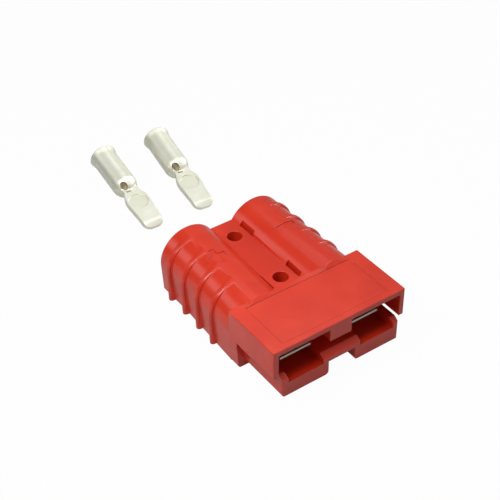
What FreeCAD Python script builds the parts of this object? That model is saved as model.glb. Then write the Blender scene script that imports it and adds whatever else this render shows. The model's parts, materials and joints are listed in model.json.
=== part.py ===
import FreeCAD, Part
import math
import os

# Two-pole genderless power connector: one moulded housing, two leaf springs, two loose crimp contacts.
# Millimetres. X runs across the two poles, the mating mouth faces -Y, the cables leave towards +Y, Z is up
# from the flat underside. The origin is midway between the two mounting holes, on the underside.

V = FreeCAD.Vector
os.makedirs("parts", exist_ok=True)

# ---- overall -------------------------------------------------------------------------------------------
width = 55.9            # across the hood
mouthY = -48.5          # front plane of the hood
rearY = 23.4            # cable end of the body
hoodLength = 26.25      # hood, front to back
stepBack = 21.5         # shoulder under the hood sides, behind the mouth plane; the mate's hood stops on it
lipOut = 1.1            # how far the lower lip stands ahead of the hood
hoodTop = 23.5          # hood top above the underside
midZ = 12.0             # mating plane: a second connector turned over about it fits this one

# ---- rear body -----------------------------------------------------------------------------------------
poleX = 14.94           # offset of each pole from the centre plane
barrelR = 11.9          # outer radius of each cable barrel
barrelZ = 12.91         # height of the barrel axis
splayStart = 6.5        # from here forward the barrels splay out to meet the sides of the hood
splayGap = 0.05         # and stop this short of them
crownDrop = 0.36        # they also dip by this much on the way
valleyZ = 19.14         # floor between the barrels
valleyHalf = 5.6        # half width of that floor
footLean = 0.65         # the flanks lean in by this much at the underside
footRound = 1.2
holePitch = 28.6        # mounting holes, one behind the other on the centre plane
holeR = 2.93
slotIn = 0.2            # narrow core slots at the foot of each barrel: overlap with the floor, and widths
slotWidth = 1.3
rearSlotWidth = 1.0
slotLength = 7.9
slotPitch = 28.1
slotMidY = 0.3          # centre of the slot pattern
slotDepth = 5.0

# ---- grip ribs -----------------------------------------------------------------------------------------
ribFirstY = 17.3        # crest of the rearmost rib
ribPitch = 9.43
ribCount = 4
ribShiftX = 1.25        # the rib outline is the barrel outline moved out and down
ribShiftZ = 0.12
ribLean = 0.35          # and leans in less towards the foot than the flank does
ribFade = 80.0          # each rib dies out on the barrel at this angle above the horizontal
ribHalf = 1.2           # half its width along the barrel
ribRootOut = 5.0        # its root is buried in the body this far outside the pole, and less at the top
ribRootLean = 2.0
# half-round bead: place along the barrel and height, as shares
ribProfile = ((1.0, -0.05), (0.88, 0.6), (0.45, 0.93), (0.0, 1.0), (-0.45, 0.93), (-0.88, 0.6), (-1.0, -0.05))

# ---- hood and mouth, with the clearances to a mated connector ------------------------------------------
roofThick = 2.0
hoodWall = 2.1
hoodRoot = 3.0          # the hood block reaches this far down into the shoulder
hoodCorner = 0.5        # rounding of the upright edges
hoodChamfer = 0.25      # narrow break of the edges of the roof
cavityRound = 0.7
seamGap = 0.1           # hood sides and lip walls each stop this far from the mating plane
lipSideGap = 0.85       # lip to the inside of the mate's hood sides
lipUnderGap = 0.5       # lip to the inside of the mate's roof
cavityEndGap = 0.6      # lip front to the end wall of the mate's cavity
lipRampDrop = 1.5       # the tops of the lip walls slope down by this much at the front
lipRampBack = 2.4
lipRound = 0.8
trayZ = 8.82            # floor of each contact chamber
trayShift = 0.36        # chamber centre outside the pole axis, and its half width
trayHalf = 7.4
tunnelRise = 0.9        # the way to the contact bore is this much higher than the mating plane
keyHalf = 4.6           # key under the roof that enters the notch in the mate's lip
keyZ = 16.4
keyRound = 0.4
keyGap = 1.06           # key to the walls and ceiling of the notch
notchRound = 1.3
notchBack = 0.4         # the notch runs this far past the step
labelHalf = 22.4        # shallow flat on the hood top
labelFront = 2.6        # behind the mouth plane
labelRear = 23.8        # the barrel crowns run forward over the hood up to here
labelDepth = 0.25

# ---- contacts ------------------------------------------------------------------------------------------
contactLength = 46.6    # bell rim to nose
crimpR = 5.24
crimpBoreR = 4.2
crimpDepth = 19.0
boreEndWall = 1.2       # the drilled end is a shallow cone this deep
bellR = 5.81
bellLength = 2.6
bellWall = 1.05         # at the rim, left by the lead-in of the crimp bore
leadIn = 2.0
rimRound = 0.3
shoulderU = 19.4        # where the ball-shaped shoulder begins
shoulderBands = 4
tangTop = 2.0           # top of the tang above the crimp axis
tangThick = 2.4
tangHalf = 4.15         # blade half width; the shoulders bulge past it and the neck is narrower
tangCorner = 2.3
tangRearU = 17.0        # the tang starts inside the solid end of the barrel
# its plan: offset from the blade half width at distances from the bell rim
tangPlan = ((-0.3, tangRearU), (-0.8, 23.2), (-0.85, 25.4), (-0.1, 27.6), (0.5, 29.8), (0.6, 32.0),
            (0.4, 35.3), (0.15, 38.7), (0.0, 43.5))
foldU = 43.9            # the nose bends down from here
dropStart = 2.2         # under it the blade thickens by noseDrop, between these distances behind the fold
dropEnd = 0.9
noseSlope = 1.8         # fall of the top face from the fold to the end
noseDrop = 0.15
noseRound = 0.5
imprintU = 31.7
imprintR = 3.9
imprintDepth = 0.3
nickU = 25.3            # small nick where the tang leaves the shoulder, off centre towards the hole
nickX = 1.0
nickHalfX = 1.0
nickHalfU = 0.3
nickDepth = 0.35
sightU = 22.6           # inspection hole on the shoulder, turned this far round the crimp axis
sightTurn = 30.0
sightR = 1.45

# ---- leaf springs --------------------------------------------------------------------------------------
springHalf = 6.45
springThick = 0.7
springFrontY = mouthY + 5.8
springFrontZ = 13.4     # top of the free front edge
springHook = 2.4
springSideGap = 0.25    # to the inner wall of the chamber
springRearGap = 1.0     # to the end of the contact bore
springFlat = 3.2        # length that lies on the chamber floor at the back
springSquare = 1.25     # it rises with the square of the way forward, less a little of the cube
springCube = 0.25
springStations = 12
hookSideGap = 0.05
hookEndGap = 0.15

# ---- bores for the contacts and cables -----------------------------------------------------------------
cableR = 9.2
cableZ = 12.5
cableDepth = 17.0
boreGap = 0.55          # round the bell of a fitted contact
stopGap = 0.2           # ahead of its shoulder
noseReach = 1.7         # its nose stands this far ahead of the spring

# ---- places that follow --------------------------------------------------------------------------------
stepY = mouthY + stepBack
hoodRearY = mouthY + hoodLength
cavityY = stepY + lipOut + cavityEndGap
roofZ = hoodTop - roofThick
splayX = width / 2 - poleX - barrelR - splayGap
skyZ = barrelZ + barrelR + 5.0      # above everything
over = 1.0                          # how far the cutting shapes overshoot
quarterMid = 1 - math.sqrt(0.5)     # how far the middle of a rounded corner lies in from its sides
legZ = midZ + seamGap
lipTop = midZ - seamGap
lipHalf = width / 2 - hoodWall - lipSideGap
lipZ = 2 * midZ - roofZ + lipUnderGap
notchHalf = keyHalf + keyGap
notchZ = 2 * midZ - keyZ + keyGap
contactZ = midZ - tangTop
contactBoreR = bellR + boreGap
contactRimY = springFrontY - noseReach + contactLength
contactStopY = contactRimY - shoulderU - crimpR - stopGap
springRearY = contactStopY - springRearGap
# a loose contact lies on its shoulder and its nose at this angle
restRun = contactLength - noseRound - shoulderU
restRise = tangTop - tangThick - noseDrop
restAngle = math.asin(crimpR / math.hypot(restRun, restRise)) + math.atan2(restRise, restRun)
trayX = poleX + trayShift
springX = trayX - trayHalf + springSideGap + springHalf

# ---- loose contacts ------------------------------------------------------------------------------------
# crimp rim position and heading about Z
loosePoses = (("left_contact", -6.62, 103.02, -3.0), ("right_contact", 18.9, 101.9, -5.9))


def save(shape, name):
    shape = shape.removeSplitter()
    print(name, "solids", len(shape.Solids), "volume", round(shape.Volume, 1), "valid", shape.isValid())
    shape.Solids[0].exportStep("parts/" + name + ".step")


def box(x0, x1, y0, y1, z0, z1):
    return Part.makeBox(x1 - x0, y1 - y0, z1 - z0, V(x0, y0, z0))


def polyPrism(points, direction):
    wire = Part.makePolygon([V(*p) for p in points] + [V(*points[0])])
    return Part.Face(wire).extrude(V(*direction))


def yCylinder(radius, y0, y1, x, z):
    return Part.makeCylinder(radius, y1 - y0, V(x, y0, z), V(0, 1, 0))


def chain(points):
    return [Part.makeLine(a, b) for a, b in zip(points, points[1:])]


def edgesAlong(shape, axis, test):
    # straight edges parallel to one axis whose midpoint passes the test
    found = []
    for edge in shape.Edges:
        a = edge.Vertexes[0].Point
        b = edge.Vertexes[-1].Point
        length = (b - a).Length
        if length > 0.01 and abs(abs(getattr(b - a, axis)) - length) < 1e-6 and test((a + b) * 0.5):
            found.append(edge)
    return found


# ---- rear body -----------------------------------------------------------------------------------------
def barrelAxis(y):
    # offset and height of the barrel axis at a station along the body
    share = min(1.0, max(0.0, (splayStart - y) / (splayStart - hoodRearY)))
    return poleX + splayX * share, barrelZ - crownDrop * share


def flankEdges(sign, y, innerX, reach):
    # along the underside, round the corner and up the leaning flank to the height of the barrel axis
    foot = reach - footLean
    a = V(sign * (foot - footRound), y, 0)
    mid = V(sign * (foot - quarterMid * footRound), y, quarterMid * footRound)
    b = V(sign * (foot + footLean * footRound / barrelZ), y, footRound)
    return [Part.makeLine(V(sign * innerX, y, 0), a), Part.Arc(a, mid, b).toShape(),
            Part.makeLine(b, V(sign * reach, y, barrelZ))]


def barrelSection(sign):
    # a barrel on its flank at the cable end; the side towards the centre plane is covered by the web
    x = poleX
    y = rearY
    inner = V(sign * (x - barrelR), y, barrelZ)
    top = Part.Arc(V(sign * (x + barrelR), y, barrelZ), V(sign * x, y, barrelZ + barrelR), inner).toShape()
    edges = flankEdges(sign, y, x - barrelR, x + barrelR)
    return Part.Face(Part.Wire(edges + [top, Part.makeLine(inner, V(inner.x, y, 0))]))


def barrelBody(sign):
    # straight at the cable end, then turned out about a mitre so that it meets the side of the hood
    straightRun = V(0, -1, 0)
    splayedRun = V(sign * splayX, hoodRearY - splayStart, -crownDrop)
    hinge = straightRun.cross(splayedRun)
    turn = math.degrees(straightRun.getAngle(splayedRun))
    pivot = V(sign * poleX, splayStart, 0)
    ahead = box(-2 * width, 2 * width, splayStart - 2 * width, splayStart, -width, 2 * width)
    ahead.rotate(pivot, hinge, turn / 2)
    straight = barrelSection(sign).extrude(V(0, splayStart - barrelR - rearY, 0)).cut(ahead)
    splayed = barrelSection(sign).extrude(V(0, mouthY - rearY, 0))
    splayed.rotate(pivot, hinge, turn)
    # the crown runs out over the back of the hood in a slope that ends at the label's rear line
    labelY = mouthY + labelRear
    top = barrelZ + barrelR
    room = box(-width, width, hoodRearY, rearY, 0, skyZ)
    room = room.fuse(polyPrism([(-width, rearY, roofZ), (-width, labelY, roofZ), (-width, labelY, hoodTop),
                                (-width, hoodRearY, top), (-width, rearY, top)], (2 * width, 0, 0)))
    return straight.fuse(splayed.common(ahead).common(room))


def shoulder(sign):
    # under the back of the hood: its front face is the step that the mate's hood stops on
    half = width / 2
    edges = flankEdges(sign, stepY, 0, half)
    edges += chain([V(sign * half, stepY, barrelZ), V(sign * half, stepY, roofZ), V(0, stepY, roofZ),
                    V(0, stepY, 0)])
    return Part.Face(Part.Wire(edges)).extrude(V(0, hoodRearY - stepY, 0))


def ribSection(sign, y, share):
    # outline of a grip rib at one station; share 0 lies on the barrel, 1 is the full crest
    axisX, axisZ = barrelAxis(y)
    cx = axisX + ribShiftX * share
    cz = axisZ - ribShiftZ * share
    fade = math.radians(ribFade)
    start = math.atan2(axisZ + barrelR * math.sin(fade) - cz, axisX + barrelR * math.cos(fade) - cx)
    arc = [V(sign * (cx + barrelR * math.cos(start * k)), y, cz + barrelR * math.sin(start * k))
           for k in (1.0, 0.5, 0.0)]
    rootX = poleX + ribRootOut
    lean = footLean + (ribLean - footLean) * share
    points = [arc[2], V(sign * (cx + barrelR - lean), y, 0), V(sign * rootX, y, 0),
              V(sign * (rootX - ribRootLean), y, cz), arc[0]]
    return Part.Wire([Part.Arc(*arc).toShape()] + chain(points))


def rib(sign, crestY):
    sections = [ribSection(sign, crestY + ribHalf * place, share) for place, share in ribProfile]
    return Part.makeLoft(sections, True, True)


def valley():
    # room between the barrels, with a core slot at each end of both barrel feet; behind the rear slots
    # the barrels themselves run down to the floor
    slotsRearY = slotMidY + (slotPitch + slotLength) / 2
    cuts = [box(-valleyHalf, valleyHalf, hoodRearY, slotsRearY, valleyZ, skyZ)]
    for side in (-1, 1):
        for end, across in ((-0.5, slotWidth), (0.5, rearSlotWidth)):
            x = side * (valleyHalf - slotIn + across / 2)
            y = slotMidY + end * slotPitch
            cuts.append(box(x - across / 2, x + across / 2, y - slotLength / 2, y + slotLength / 2,
                            valleyZ - slotDepth, skyZ))
    return cuts


# ---- hood and mouth ------------------------------------------------------------------------------------
def hoodBlock():
    half = width / 2
    block = box(-half, half, mouthY, hoodRearY, legZ - hoodRoot, hoodTop)
    block = block.makeFillet(hoodCorner, edgesAlong(block, "z", lambda m: True))
    block = block.makeChamfer(hoodChamfer, [e for e in block.Edges if e.BoundBox.ZMin > hoodTop - 0.01])
    # ahead of the step the sides end just above the mating plane
    return block.cut(box(-width, width, mouthY - over, stepY, 0, legZ))


def hoodCavity():
    half = width / 2 - hoodWall
    hollow = box(-half, half, mouthY - over, cavityY, lipTop - seamGap, roofZ)
    return hollow.makeFillet(cavityRound, edgesAlong(hollow, "y", lambda m: m.z > midZ))


def lip():
    frontY = mouthY - lipOut
    block = box(-lipHalf, lipHalf, frontY, cavityY, lipZ, lipTop)
    block = block.makeFillet(lipRound, edgesAlong(block, "y", lambda m: m.z < midZ / 2)
                             + edgesAlong(block, "z", lambda m: m.y < mouthY))
    slope = lipRampDrop / lipRampBack
    ramp = polyPrism([(-width, frontY - over, lipTop - lipRampDrop - over * slope),
                      (-width, frontY - over, lipTop + over),
                      (-width, frontY + lipRampBack + over / slope, lipTop + over)], (2 * width, 0, 0))
    return block.cut(ramp)


def key():
    block = box(-keyHalf, keyHalf, mouthY, cavityY + over, keyZ, roofZ + over)
    return block.makeFillet(keyRound, edgesAlong(block, "y", lambda m: m.z < roofZ))


def notch():
    # takes the mate's key; its lower corners are rounded
    front = mouthY - lipOut - over
    cuts = [box(-notchHalf, notchHalf, front, stepY + notchBack, -over, notchZ)]
    for sign in (-1, 1):
        outer = sign * (notchHalf + notchRound)
        corner = box(min(sign * notchHalf, outer), max(sign * notchHalf, outer), front, stepY,
                     lipZ - over, lipZ + notchRound)
        cuts.append(corner.cut(yCylinder(notchRound, front - over, stepY + over, outer, lipZ + notchRound)))
    return cuts


def chamber(sign):
    # open tray at the front that runs back under the hood's end wall to the contact and cable bores
    x0 = sign * trayX - trayHalf
    x1 = sign * trayX + trayHalf
    hookX = springHalf + hookSideGap
    return [box(x0, x1, mouthY - lipOut - over, cavityY, trayZ, lipTop + over),
            box(x0, x1, springFrontY, contactStopY, trayZ, midZ + tunnelRise),
            yCylinder(contactBoreR, contactStopY, rearY - cableDepth + over, sign * poleX, contactZ),
            yCylinder(cableR, rearY - cableDepth, rearY + over, sign * poleX, cableZ),
            # pocket in the floor for the spring's rear hook
            box(sign * springX - hookX, sign * springX + hookX, springRearY - springThick, springRearY,
                trayZ - springHook, trayZ + over)]


def buildHousing():
    solid = barrelBody(1).fuse([barrelBody(-1), shoulder(1), shoulder(-1), hoodBlock()])
    solid = solid.fuse(box(-poleX, poleX, stepY, rearY, 0, valleyZ))
    solid = solid.fuse([rib(sign, ribFirstY - ribPitch * i) for sign in (-1, 1) for i in range(ribCount)])
    solid = solid.cut(valley() + [hoodCavity()])
    solid = solid.fuse([lip(), key()])
    cuts = chamber(-1) + chamber(1) + notch()
    for end in (-0.5, 0.5):
        cuts.append(Part.makeCylinder(holeR, skyZ + over, V(0, holePitch * end, -over)))
    cuts.append(box(-labelHalf, labelHalf, mouthY + labelFront, mouthY + labelRear,
                    hoodTop - labelDepth, skyZ))
    return solid.cut(cuts)


# ---- leaf springs --------------------------------------------------------------------------------------
def buildSpring(sign):
    # a leaf that lies on the chamber floor at the back, rises to a free front edge, and hooks into the floor
    bendY = springRearY - springFlat
    rise = springFrontZ - springThick - trayZ
    run = springFrontY - bendY
    low = []
    top = []
    for k in range(springStations + 1):
        s = k / springStations
        point = V(0, bendY + run * s, trayZ + rise * (springSquare * s ** 2 - springCube * s ** 3))
        normal = V(0, -rise * (2 * springSquare * s - 3 * springCube * s ** 2) / run, 1.0)
        low.append(point)
        top.append(point + normal.normalize() * springThick)
    lower = Part.BSplineCurve()
    lower.interpolate(low)
    upper = Part.BSplineCurve()
    upper.interpolate(top[::-1])
    hookZ = trayZ - springHook + hookEndGap
    edges = [lower.toShape(), Part.makeLine(low[-1], top[-1]), upper.toShape()]
    edges += chain([top[0], V(0, springRearY, trayZ + springThick), V(0, springRearY, hookZ),
                    V(0, springRearY - springThick, hookZ), V(0, springRearY - springThick, trayZ), low[0]])
    leaf = Part.Face(Part.Wire(edges)).extrude(V(2 * springHalf, 0, 0))
    leaf.translate(V(sign * springX - springHalf, 0, 0))
    return leaf


# ---- contacts ------------------------------------------------------------------------------------------
def crimpBarrel():
    # turned blank with a belled mouth and a ball-shaped, closed shoulder; the bell rim is at y = 0
    rim = V(bellR - rimRound, 0, 0)
    points = [rim, V(bellR, -rimRound, 0), V(crimpR, -rimRound - bellLength, 0), V(crimpR, -shoulderU, 0)]
    for step in range(shoulderBands + 1):
        bend = restAngle + (math.pi / 2 - restAngle) * step / shoulderBands
        points.append(V(crimpR * math.cos(bend), -shoulderU - crimpR * math.sin(bend), 0))
    points += [V(0, -crimpDepth, 0), V(crimpBoreR, -crimpDepth, 0),
               V(crimpBoreR, -leadIn, 0), V(bellR - bellWall, 0, 0), rim]
    edges = chain(points)
    return Part.Face(Part.Wire(edges)).revolve(V(0, 0, 0), V(0, 1, 0), 360)


def tangOutline():
    # seen from above: narrow neck, convex shoulders, straight blade with rounded corners
    h = tangHalf
    c = tangCorner
    d = c * quarterMid
    plan = [(h + offset, u) for offset, u in tangPlan]
    bladeU = plan[-1][1]
    right = Part.BSplineCurve()
    right.interpolate([V(x, -u, 0) for x, u in plan])
    left = Part.BSplineCurve()
    left.interpolate([V(-x, -u, 0) for x, u in plan[::-1]])
    tip = [V(h, -bladeU, 0), V(h, -contactLength + c, 0), V(h - c, -contactLength, 0),
           V(-h + c, -contactLength, 0), V(-h, -contactLength + c, 0), V(-h, -bladeU, 0)]
    edges = [right.toShape(), Part.makeLine(tip[0], tip[1]),
             Part.Arc(tip[1], V(h - d, -contactLength + d, 0), tip[2]).toShape(),
             Part.makeLine(tip[2], tip[3]),
             Part.Arc(tip[3], V(-h + d, -contactLength + d, 0), tip[4]).toShape(),
             Part.makeLine(tip[4], tip[5]), left.toShape(),
             Part.makeLine(V(-plan[0][0], -tangRearU, 0), V(plan[0][0], -tangRearU, 0))]
    outline = Part.Face(Part.Wire(edges)).extrude(V(0, 0, 2 * bellR))
    outline.translate(V(0, 0, -bellR))
    return outline


def tang():
    under = tangTop - tangThick
    rear = -tangRearU
    side = polyPrism([(-bellR, rear, tangTop), (-bellR, -foldU, tangTop),
                      (-bellR, -contactLength, tangTop - noseSlope),
                      (-bellR, -contactLength, under - noseDrop + noseRound),
                      (-bellR, -contactLength + noseRound, under - noseDrop),
                      (-bellR, -foldU + dropEnd, under - noseDrop), (-bellR, -foldU + dropStart, under),
                      (-bellR, rear, under)], (2 * bellR, 0, 0))
    # it starts in the solid end of the barrel, so that the crimp bore stays open
    return tangOutline().common(side).cut(box(-bellR, bellR, -crimpDepth - boreEndWall, 0, -bellR, bellR))


def buildContact():
    coin = Part.makeCylinder(imprintR, imprintDepth + over, V(0, -imprintU, tangTop - imprintDepth))
    sight = Part.makeCylinder(sightR, 2 * bellR, V(0, -sightU, sightR))
    sight.rotate(V(0, 0, 0), V(0, 1, 0), -sightTurn)
    nick = box(-nickX - nickHalfX, -nickX + nickHalfX, -nickU - nickHalfU, -nickU + nickHalfU,
               tangTop - nickDepth, tangTop + over)
    return crimpBarrel().fuse(tang()).cut([coin, sight, nick])


save(buildHousing(), "housing")
save(buildSpring(-1), "left_spring")
save(buildSpring(1), "right_spring")

# each loose contact lies on its round shoulder and its nose
for name, x, y, heading in loosePoses:
    contact = buildContact()
    contact.rotate(V(0, 0, 0), V(1, 0, 0), math.degrees(restAngle))
    contact.rotate(V(0, 0, 0), V(0, 0, 1), heading)
    contact.translate(V(x, y, crimpR + shoulderU * math.sin(restAngle)))
    save(contact, name)
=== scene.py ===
import json
from math import cos, hypot, pi, radians, sin
import bpy
from mathutils import Matrix, Vector

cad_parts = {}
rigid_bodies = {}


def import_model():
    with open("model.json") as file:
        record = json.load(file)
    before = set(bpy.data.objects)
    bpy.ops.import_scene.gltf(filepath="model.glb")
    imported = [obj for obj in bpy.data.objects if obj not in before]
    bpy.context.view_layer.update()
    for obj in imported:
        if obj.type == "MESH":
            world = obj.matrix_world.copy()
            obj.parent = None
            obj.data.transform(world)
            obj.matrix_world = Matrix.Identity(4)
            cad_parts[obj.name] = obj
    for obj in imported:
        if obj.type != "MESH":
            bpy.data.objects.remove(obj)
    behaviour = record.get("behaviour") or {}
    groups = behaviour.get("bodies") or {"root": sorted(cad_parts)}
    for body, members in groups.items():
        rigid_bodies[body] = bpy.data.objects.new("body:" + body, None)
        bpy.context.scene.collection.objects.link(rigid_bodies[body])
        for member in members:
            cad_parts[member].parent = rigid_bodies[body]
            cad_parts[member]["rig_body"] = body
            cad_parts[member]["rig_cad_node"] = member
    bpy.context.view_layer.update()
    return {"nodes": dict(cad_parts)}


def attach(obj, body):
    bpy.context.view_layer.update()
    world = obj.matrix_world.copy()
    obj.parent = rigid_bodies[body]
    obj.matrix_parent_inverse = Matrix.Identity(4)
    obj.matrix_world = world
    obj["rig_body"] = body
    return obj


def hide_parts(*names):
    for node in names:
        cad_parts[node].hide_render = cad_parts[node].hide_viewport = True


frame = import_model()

mm = 0.001
near = 0.1 * mm                  # points closer than this count as one place
weldBelow = 0.002 * mm


def linearColour(hexText):
    # sRGB hex to the linear values that shaders take
    parts = [int(hexText[i:i + 2], 16) / 255 for i in (1, 3, 5)]
    return [p / 12.92 if p <= 0.04045 else ((p + 0.055) / 1.055) ** 2.4 for p in parts] + [1.0]


def addNode(tree, kind, settings=None, links=None):
    # settings: a socket's name or number, or a property; links: a socket to (node, its output)
    # a colour Mix has its factor at input 0, its colours at 6 and 7, and its result at output 2
    node = tree.nodes.new("ShaderNode" + kind)
    for key, value in (settings or {}).items():
        if isinstance(key, int) or key in node.inputs:
            node.inputs[key].default_value = value
        else:
            setattr(node, key, value)
    for key, (source, output) in (links or {}).items():
        tree.links.new(source.outputs[output], node.inputs[key])
    return node


def newMaterial(name):
    material = bpy.data.materials.new(name)
    material.use_nodes = True
    material.node_tree.nodes.clear()
    return material, material.node_tree


def onlySelect(thing):
    bpy.ops.object.select_all(action="DESELECT")
    thing.select_set(True)
    bpy.context.view_layer.objects.active = thing


def addBox(name, centre, size):
    bpy.ops.object.select_all(action="DESELECT")
    bpy.ops.mesh.primitive_cube_add(size=1, location=centre, scale=size)
    box = bpy.context.view_layer.objects.active
    box.name = name
    bpy.ops.object.transform_apply(location=True, rotation=True, scale=True)
    return box


def useBoolean(target, tool, operation):
    onlySelect(target)
    modifier = target.modifiers.new("cut", "BOOLEAN")
    modifier.operation = operation
    modifier.solver = "EXACT"
    modifier.object = tool
    bpy.ops.object.modifier_apply(modifier=modifier.name)
    bpy.data.objects.remove(tool, do_unlink=True)


def roundEdges(piece, rounding, test):
    # rounds the edges that are sharper than so many degrees and whose middle passes the test
    sharpness, radius, segments = rounding
    onlySelect(piece)
    bpy.ops.object.mode_set(mode="EDIT")
    bpy.ops.mesh.select_mode(type="EDGE")
    bpy.ops.mesh.select_all(action="DESELECT")
    bpy.ops.mesh.edges_select_sharp(sharpness=radians(sharpness))
    bpy.ops.object.mode_set(mode="OBJECT")
    mesh = piece.data
    wanted = []
    for edge in mesh.edges:
        start, end = (mesh.vertices[index].co for index in edge.vertices)
        wanted.append(edge.select and test(*((start + end) / 2)))
    mesh.vertices.foreach_set("select", [False] * len(mesh.vertices))
    mesh.polygons.foreach_set("select", [False] * len(mesh.polygons))
    mesh.edges.foreach_set("select", wanted)
    bpy.ops.object.mode_set(mode="EDIT")
    bpy.ops.mesh.bevel(offset=radius, segments=segments, clamp_overlap=True)
    bpy.ops.object.mode_set(mode="OBJECT")


def mergedCopy(node, name, materials):
    # the CAD solid's loose triangles joined up, so that its curves shade as curves
    onlySelect(frame["nodes"][node])
    bpy.ops.object.duplicate()
    piece = bpy.context.view_layer.objects.active
    piece.name = name
    # the copy is no CAD node
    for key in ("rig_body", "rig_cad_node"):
        if key in piece:
            del piece[key]
    onlySelect(piece)
    bpy.ops.object.mode_set(mode="EDIT")
    bpy.ops.mesh.select_all(action="SELECT")
    bpy.ops.mesh.customdata_custom_splitnormals_clear()
    bpy.ops.mesh.remove_doubles(threshold=weldBelow)
    bpy.ops.object.mode_set(mode="OBJECT")
    piece.data.materials.clear()
    for material in materials:
        piece.data.materials.append(material)
    return piece


def finish(piece, node, smoothAngle):
    onlySelect(piece)
    bpy.ops.object.shade_smooth_by_angle(angle=radians(smoothAngle))
    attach(piece, "root")
    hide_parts(node)


camera = {
    "place": (-187.454 * mm, -267.426 * mm, 285.223 * mm),
    "azimuth": -34.58,
    "elevation": 38.87,
    "roll": -0.918,
    "lens": 83.956,
    "sensor": 36,
    "clip": (0.01, 20),
}
cameraData = bpy.data.cameras.new("camera")
cameraData.lens = camera["lens"]
cameraData.sensor_width = camera["sensor"]
cameraData.clip_start, cameraData.clip_end = camera["clip"]
cameraObject = bpy.data.objects.new("camera", cameraData)
bpy.context.scene.collection.objects.link(cameraObject)
cameraObject.matrix_world = (Matrix.Translation(Vector(camera["place"]))
                             @ Matrix.Rotation(radians(camera["azimuth"]), 4, "Z")
                             @ Matrix.Rotation(radians(90 - camera["elevation"]), 4, "X")
                             @ Matrix.Rotation(radians(camera["roll"]), 4, "Z"))
bpy.context.scene.camera = cameraObject
print("camera placed")


polycarbonate = {
    "red": "#DC371C",
    "deepRed": "#D13018",
    "paintedEdgeHighlight": "#E2604F",                                     # painted highlight: paler red laid along the rounded edges
    "ior": 1.585,
    "roughness": {"To Min": 0.2, "To Max": 0.28},
    "flow": {"Scale": 1 / (14 * mm), "Detail": 3.0},        # tone changes where the melt ran
    "flowShare": {"From Min": 0.35, "From Max": 0.65},
    "grain": {"Scale": 1 / (0.7 * mm), "Detail": 2.0},      # faint ripple of the polished mould
    "grainHeight": {"Strength": 0.35, "Distance": 0.008 * mm},
    "edge": {"samples": 6, "Radius": 0.38 * mm},
    "edgeHighlightMask": {"From Min": 0.985, "From Max": 0.8},         # cosine of flat to rounded normal
    "speck": {"Scale": 1 / (1.6 * mm), "Detail": 4.0},      # breaks the painted edge highlight up into specks
    "speckShare": {"From Min": 0.52, "From Max": 0.7, "To Max": 0.6},
}


def redPolycarbonate():
    # injection-moulded polycarbonate from a polished tool: deep colour under a soft gloss,
    # edges a hair round, with a painted highlight of paler red in specks along them
    look = polycarbonate
    red, deepRed, paintedEdgeHighlight = (linearColour(look[name]) for name in ("red", "deepRed", "paintedEdgeHighlight"))
    material, tree = newMaterial("mouldedRedPolycarbonate")
    place = addNode(tree, "TexCoord")
    flow = addNode(tree, "TexNoise", look["flow"], {"Vector": (place, "Object")})
    share = addNode(tree, "MapRange", look["flowShare"], {"Value": (flow, 0)})
    tone = addNode(tree, "Mix", {"data_type": "RGBA", 6: deepRed, 7: red}, {0: (share, 0)})
    grain = addNode(tree, "TexNoise", look["grain"], {"Vector": (place, "Object")})
    edge = addNode(tree, "Bevel", look["edge"])
    # where the rounded normal leaves the flat one there is an edge
    surface = addNode(tree, "NewGeometry")
    bend = addNode(tree, "VectorMath", {"operation": "DOT_PRODUCT"},
                   {0: (edge, 0), 1: (surface, "Normal")})
    # painted highlight: the rounded edges are mixed towards a paler red, in specks
    edgeHighlightMask = addNode(tree, "MapRange", look["edgeHighlightMask"], {"Value": (bend, "Value")})
    speck = addNode(tree, "TexNoise", look["speck"], {"Vector": (place, "Object")})
    broken = addNode(tree, "MapRange", look["speckShare"], {"Value": (speck, 0)})
    paintedHighlightShare = addNode(tree, "Math", {"operation": "MULTIPLY"}, {0: (edgeHighlightMask, 0), 1: (broken, 0)})
    withPaintedHighlight = addNode(tree, "Mix", {"data_type": "RGBA", 7: paintedEdgeHighlight}, {0: (paintedHighlightShare, 0), 6: (tone, 2)})
    bump = addNode(tree, "Bump", look["grainHeight"], {"Height": (grain, 0), "Normal": (edge, 0)})
    gloss = addNode(tree, "MapRange", look["roughness"], {"Value": (flow, 0)})
    shader = addNode(tree, "BsdfPrincipled", {"IOR": look["ior"], "Metallic": 0.0},
                     {"Base Color": (withPaintedHighlight, 2), "Roughness": (gloss, 0), "Normal": (bump, 0)})
    addNode(tree, "OutputMaterial", {}, {"Surface": (shader, 0)})
    return material


plating = {
    "silver": "#FAFAEC",
    "dullSilver": "#F0F0DE",
    "roughness": {"To Min": 0.56, "To Max": 0.44},
    "patch": {"Scale": 1 / (5 * mm), "Detail": 4.0},
    "patchShare": {"From Min": 0.3, "From Max": 0.7},
    "peen": {"Scale": 1 / (0.6 * mm), "Detail": 3.0},       # tumbling marks
    "peenHeight": {"Strength": 0.3, "Distance": 0.02 * mm},
    "edge": {"samples": 6, "Radius": 0.3 * mm},
}


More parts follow.
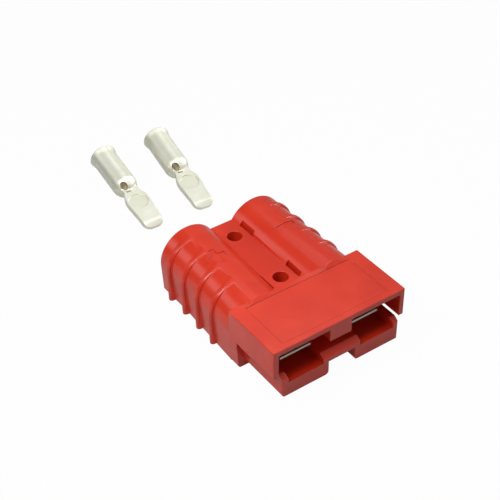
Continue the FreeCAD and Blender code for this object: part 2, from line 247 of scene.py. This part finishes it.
def silverPlate():
    # silver plate over soft copper, tumbled: a creamy white metal with a satin bloom and tiny dents
    look = plating
    silver, dullSilver = (linearColour(look[name]) for name in ("silver", "dullSilver"))
    material, tree = newMaterial("silverPlatedCopper")
    place = addNode(tree, "TexCoord")
    patch = addNode(tree, "TexNoise", look["patch"], {"Vector": (place, "Object")})
    share = addNode(tree, "MapRange", look["patchShare"], {"Value": (patch, 0)})
    tone = addNode(tree, "Mix", {"data_type": "RGBA", 6: dullSilver, 7: silver}, {0: (share, 0)})
    gloss = addNode(tree, "MapRange", look["roughness"], {"Value": (patch, 0)})
    peen = addNode(tree, "TexNoise", look["peen"], {"Vector": (place, "Object")})
    edge = addNode(tree, "Bevel", look["edge"])
    bump = addNode(tree, "Bump", look["peenHeight"], {"Height": (peen, 0), "Normal": (edge, 0)})
    shader = addNode(tree, "BsdfPrincipled", {"Metallic": 1.0},
                     {"Base Color": (tone, 2), "Roughness": (gloss, 0), "Normal": (bump, 0)})
    addNode(tree, "OutputMaterial", {}, {"Surface": (shader, 0)})
    return material


coining = {
    "silver": "#F2F3DF",
    "roughness": 0.48,
}


def coinedPlate(base):
    # the same plate where a punch has flattened it: a touch greyer, and even all over
    material = base.copy()
    material.name = "coinedSilverPlate"
    tree = material.node_tree
    shader = [node for node in tree.nodes if node.type == "BSDF_PRINCIPLED"][0]
    for name in ("Base Color", "Roughness"):
        tree.links.remove(shader.inputs[name].links[0])
    shader.inputs["Base Color"].default_value = linearColour(coining["silver"])
    shader.inputs["Roughness"].default_value = coining["roughness"]
    return material


# painted shade for the hollows of the contacts
recessShadePaint = {
    "shadedGreyBrown": "#C6BEA8",
    "roughness": 0.5,
}


def paintRecessShade():
    # painted shade: a grey-brown plate for the sight hole, the nick and the imprint's wall, where
    # shade falls
    material, tree = newMaterial("paintedShadeSilverPlate")
    shader = addNode(tree, "BsdfPrincipled", {"Base Color": linearColour(recessShadePaint["shadedGreyBrown"]),
                                              "Metallic": 1.0,
                                              "Roughness": recessShadePaint["roughness"]})
    addNode(tree, "OutputMaterial", {}, {"Surface": (shader, 0)})
    return material


strip = {
    "steel": "#C9C4B8",
    "darkSteel": "#B4AEA2",
    "roughness": 0.34,
    # rolling lines, 0.12 mm apart and 6 mm long
    "along": {"Scale": (1 / (0.12 * mm), 1 / (6 * mm), 1 / (0.12 * mm))},
    "lines": {"Scale": 1.0, "Detail": 2.0},
    "lineShare": {"From Min": 0.3, "From Max": 0.7},
    "lineHeight": {"Strength": 0.2, "Distance": 0.01 * mm},
    "edge": {"samples": 4, "Radius": 0.12 * mm},
}


def springSteel():
    # cold-rolled stainless strip: fine lines along the rolling direction, soft bright edges
    look = strip
    steel, darkSteel = (linearColour(look[name]) for name in ("steel", "darkSteel"))
    material, tree = newMaterial("rolledStainlessStrip")
    place = addNode(tree, "TexCoord")
    along = addNode(tree, "Mapping", look["along"], {"Vector": (place, "Object")})
    lines = addNode(tree, "TexNoise", look["lines"], {"Vector": (along, 0)})
    share = addNode(tree, "MapRange", look["lineShare"], {"Value": (lines, 0)})
    tone = addNode(tree, "Mix", {"data_type": "RGBA", 6: darkSteel, 7: steel}, {0: (share, 0)})
    edge = addNode(tree, "Bevel", look["edge"])
    bump = addNode(tree, "Bump", look["lineHeight"], {"Height": (lines, 0), "Normal": (edge, 0)})
    shader = addNode(tree, "BsdfPrincipled", {"Metallic": 1.0, "Roughness": look["roughness"]},
                     {"Base Color": (tone, 2), "Normal": (bump, 0)})
    addNode(tree, "OutputMaterial", {}, {"Surface": (shader, 0)})
    return material


red = redPolycarbonate()
silver = silverPlate()
coined = coinedPlate(silver)
recessShade = paintRecessShade()
steel = springSteel()
print("materials made")


signs = {
    "stroke": 2.1 * mm,
    "length": 8.0 * mm,
    "depth": 0.4 * mm,
    "reach": 4 * mm,             # height of the cutter
    "plus": (-15.5 * mm, 3.0 * mm),
    "minus": (15.1 * mm, 3.35 * mm),
    # the cable barrels that they are sunk into
    "barrelX": 14.94 * mm,
    "barrelZ": 12.91 * mm,
    "barrelR": 11.9 * mm,
    "barrelLength": 40 * mm,
    "barrelSides": 256,
}


def signCutter(name, place, barrelX, withUpright):
    # bars whose foot is hollowed to the barrel's curve, so that the sign is as deep all over
    centre = (place[0], place[1], signs["barrelZ"] + signs["barrelR"])
    cutter = addBox(name, centre, (signs["length"], signs["stroke"], signs["reach"]))
    if withUpright:
        upright = addBox(name, centre, (signs["stroke"], signs["length"], signs["reach"]))
        useBoolean(cutter, upright, "UNION")
    bpy.ops.object.select_all(action="DESELECT")
    bpy.ops.mesh.primitive_cylinder_add(vertices=signs["barrelSides"],
                                        radius=signs["barrelR"] - signs["depth"],
                                        depth=signs["barrelLength"],
                                        location=(barrelX, 0, signs["barrelZ"]),
                                        rotation=(pi / 2, 0, 0))
    core = bpy.context.view_layer.objects.active
    bpy.ops.object.transform_apply(location=True, rotation=True, scale=True)
    useBoolean(cutter, core, "DIFFERENCE")
    return cutter


# faces that turn less, in degrees, shade as one surface
smoothBelow = {"housing": 25, "spring": 25, "contact": 30}

housing = mergedCopy("housing", "housingMoulding", [red])
plus = signCutter("plusSign", signs["plus"], -signs["barrelX"], True)
useBoolean(housing, plus, "DIFFERENCE")
minus = signCutter("minusSign", signs["minus"], signs["barrelX"], False)
useBoolean(housing, minus, "DIFFERENCE")
finish(housing, "housing", smoothBelow["housing"])
print("housing made")


for side in ("left", "right"):
    spring = mergedCopy(side + "_spring", side + "LeafSpring", [steel])
    finish(spring, side + "_spring", smoothBelow["spring"])
print("springs made")


contactShape = {
    # as each one lies: its bell rim's place and its heading
    "rims": {"left": (-6.62 * mm, 103.02 * mm, -3.0), "right": (18.9 * mm, 101.9 * mm, -5.9)},
    "rimHeight": 8.654 * mm,
    "tilt": 10.1355,
    # laid level: bell rim at Y 0, crimp axis at Z 0, nose towards -Y
    "flatBelow": 0.5,            # faces that turn less, in degrees, are made one
    "tangTop": 2.0 * mm,
    "foldY": -43.9 * mm,         # the nose bends down from here
    "blade": (-43.1 * mm, -27.0 * mm),
    "imprint": (-31.7 * mm, 3.9 * mm, 1.7 * mm),            # place, radius, height of its floor
    "imprintRim": 0.5 * mm,
    "sightHole": (-22.6 * mm, 1.45 * mm, 30.0),             # place, radius, turn round the axis
    "nick": (-1.0 * mm, -25.3 * mm, 1.1 * mm, 0.4 * mm),    # place and half size
    "wallMargin": 0.02 * mm,
    # roundings: of edges sharper than so many degrees, their radius and their segments
    "foldRound": (20, 1.3 * mm, 3),
    "bladeRound": (60, 0.55 * mm, 3),
}
nose = {
    "fall": 33.7,                # of its top, in degrees
    "length": 3.3 * mm,
    "width": 8.3 * mm,
    "cornerRound": (40, 2.9 * mm, 12),
    "edgeRound": (40, 0.6 * mm, 5),
    "slab": (12 * mm, 8 * mm),   # length and thickness of the slab whose front end is the tip
    "block": ((0, -2.5 * mm, 0.5 * mm), (14 * mm, 6 * mm, 9 * mm)),     # centre from fold, size
}


def noseCutter(foldY):
    # a block round the nose, hollowed by a slab with the tip's rounded corners and edges
    length, thickness = nose["slab"]
    front, back, top = near - length / 2, length / 2 - near, thickness / 2 - near
    slab = addBox("noseSlab", (0, 0, 0), (nose["width"], length, thickness))
    roundEdges(slab, nose["cornerRound"], lambda x, y, z: y < front and abs(z) < near < abs(x))
    roundEdges(slab, nose["edgeRound"], lambda x, y, z: z > top and y < back)
    slab.data.transform(Matrix.Translation((0, foldY, contactShape["tangTop"]))
                        @ Matrix.Rotation(radians(nose["fall"]), 4, "X")
                        @ Matrix.Translation((0, length / 2 - nose["length"], -thickness / 2)))
    centre, size = nose["block"]
    block = addBox("noseBlock", Vector(centre) + Vector((0, foldY, 0)), size)
    useBoolean(block, slab, "DIFFERENCE")
    return block


def paintContact(contact):
    # the imprint's floor is coined; its wall, the nick and the sight hole get the painted shade
    coinY, coinR, coinZ = contactShape["imprint"]
    holeY, holeR, holeTurn = contactShape["sightHole"]
    nickX, nickY, nickHalfX, nickHalfY = contactShape["nick"]
    margin = contactShape["wallMargin"]
    holeAxis = Vector((-sin(radians(holeTurn)), 0, cos(radians(holeTurn))))
    for face in contact.data.polygons:
        x, y, z = face.center
        fromCoin = hypot(x, y - coinY)
        outwards = Vector((x, y - holeY, z))
        height = outwards.dot(holeAxis)
        inHole = height > 0 and (outwards - height * holeAxis).length < holeR + margin
        inNick = abs(x - nickX) < nickHalfX and abs(y - nickY) < nickHalfY
        sunk = coinZ - near < z < contactShape["tangTop"] - margin
        if fromCoin < coinR - contactShape["imprintRim"] and abs(z - coinZ) < margin:
            face.material_index = 1
        elif inHole or (sunk and (inNick or abs(fromCoin - coinR) < near)):
            # painted shade on the imprint's wall, the nick and the sight hole
            face.material_index = 2


def makeContact(side):
    shape = contactShape
    rimX, rimY, heading = shape["rims"][side]
    pose = (Matrix.Translation((rimX, rimY, shape["rimHeight"]))
            @ Matrix.Rotation(radians(heading), 4, "Z")
            @ Matrix.Rotation(radians(shape["tilt"]), 4, "X"))
    contact = mergedCopy(side + "_contact", side + "CrimpContact", [silver, coined, recessShade])
    # worked on level and along Y, then laid back
    contact.data.transform(pose.inverted())
    onlySelect(contact)
    bpy.ops.object.mode_set(mode="EDIT")
    bpy.ops.mesh.select_all(action="SELECT")
    bpy.ops.mesh.dissolve_limited(angle_limit=radians(shape["flatBelow"]))
    bpy.ops.object.mode_set(mode="OBJECT")
    foldY = shape["foldY"]
    bladeFrom, bladeTo = shape["blade"]
    coinY, coinR = shape["imprint"][:2]
    roundEdges(contact, shape["foldRound"],
               lambda x, y, z: abs(y - foldY) < near and z > shape["tangTop"] - near)
    useBoolean(contact, noseCutter(foldY), "DIFFERENCE")
    roundEdges(contact, shape["bladeRound"],
               lambda x, y, z: bladeFrom < y < bladeTo and hypot(x, y - coinY) > coinR + near)
    paintContact(contact)
    contact.data.transform(pose)
    finish(contact, side + "_contact", smoothBelow["contact"])
    print(side, "contact made")


for side in ("left", "right"):
    makeContact(side)


studio = {
    "floorHalf": 3.0,
    "floorCells": 4,
    "floorColour": "#C4C4C4",
    "floorWhite": 0.975,         # share of plain white that the camera sees in the floor
    "floorGloss": 0.1,           # and that reflections see
    # reflections see a dark room that turns paler towards one side; other rays find it black
    "room": {"From Min": -0.1, "From Max": 0.65, "To Min": 0.14, "To Max": 0.36},
    "paleSide": (0.663, -0.383, 0.643),
    # place, width and height in metres, watts
    "lamps": {
        "leftSoftbox": ((-0.171, -0.018, 0.246), (0.16, 0.16), 0.42),
        "topSoftbox": ((-0.056, -0.026, 0.19), (0.14, 0.14), 0.13),
        "topRightSoftbox": ((0.058, 0.058, 0.288), (0.26, 0.26), 0.1),
        "backSoftbox": ((0.3, 0.24, 0.72), (0.24, 0.24), 0.42),
        "backLeftSoftbox": ((-0.21, 0.215, 0.17), (0.12, 0.12), 0.06),
        "lowLeftCard": ((-0.216, -0.181, 0.103), (0.15, 0.15), 0.03),
        "frontSoftbox": ((0.363, -0.628, 0.338), (0.4, 0.4), 0.42),
        "lowRightSoftbox": ((0.725, 0.0, 0.338), (0.4, 0.4), 2.5),
    },
}
plainWhite = (1, 1, 1, 1)


def directRays(tree):
    # the kinds of ray, and whether one is seen by the camera, straight or through something clear
    rays = addNode(tree, "LightPath")
    direct = addNode(tree, "Math", {"operation": "MAXIMUM"},
                     {0: (rays, "Is Camera Ray"), 1: (rays, "Is Transmission Ray")})
    return rays, direct


bpy.ops.object.select_all(action="DESELECT")
bpy.ops.mesh.primitive_grid_add(x_subdivisions=studio["floorCells"],
                                y_subdivisions=studio["floorCells"],
                                size=2 * studio["floorHalf"], location=(0, 0, 0))
floor = bpy.context.view_layer.objects.active
floor.name = "studioFloor"
floorMaterial, tree = newMaterial("paperSweep")
rays, direct = directRays(tree)
plain = addNode(tree, "Math", {"operation": "MULTIPLY", 1: studio["floorWhite"]}, {0: (direct, 0)})
share = addNode(tree, "Math", {"operation": "MULTIPLY_ADD", 1: studio["floorGloss"]},
                {0: (rays, "Is Glossy Ray"), 2: (plain, 0)})
paper = addNode(tree, "BsdfDiffuse", {"Color": linearColour(studio["floorColour"])})
white = addNode(tree, "Emission", {"Color": plainWhite, "Strength": 1.0})
mixed = addNode(tree, "MixShader", {}, {0: (share, 0), 1: (paper, 0), 2: (white, 0)})
addNode(tree, "OutputMaterial", {}, {"Surface": (mixed, 0)})
floor.data.materials.append(floorMaterial)

world = bpy.data.worlds.new("studioWorld")
bpy.context.scene.world = world
world.use_nodes = True
tree = world.node_tree
tree.nodes.clear()
rays, direct = directRays(tree)
# in a world, Generated is the way that a ray goes
toward = addNode(tree, "TexCoord")
facing = addNode(tree, "VectorMath", {"operation": "DOT_PRODUCT", 1: studio["paleSide"]},
                 {0: (toward, "Generated")})
room = addNode(tree, "MapRange", studio["room"], {"Value": (facing, "Value")})
glow = addNode(tree, "Math", {"operation": "MULTIPLY"}, {0: (room, 0), 1: (rays, "Is Glossy Ray")})
sheen = addNode(tree, "Background", {"Color": plainWhite}, {"Strength": (glow, 0)})
bright = addNode(tree, "Background", {"Color": plainWhite, "Strength": 1.0})
mixed = addNode(tree, "MixShader", {}, {0: (direct, 0), 1: (sheen, 0), 2: (bright, 0)})
addNode(tree, "OutputWorld", {}, {"Surface": (mixed, 0)})

for name, (place, size, watts) in studio["lamps"].items():
    data = bpy.data.lights.new(name, "AREA")
    data.shape = "RECTANGLE"
    data.size, data.size_y = size
    data.energy = watts
    lamp = bpy.data.objects.new(name, data)
    bpy.context.scene.collection.objects.link(lamp)
    lamp.location = place
    lamp.rotation_euler = (-Vector(place)).to_track_quat("-Z", "Y").to_euler()
print("studio set")

bpy.context.scene.view_settings.view_transform = "Standard"
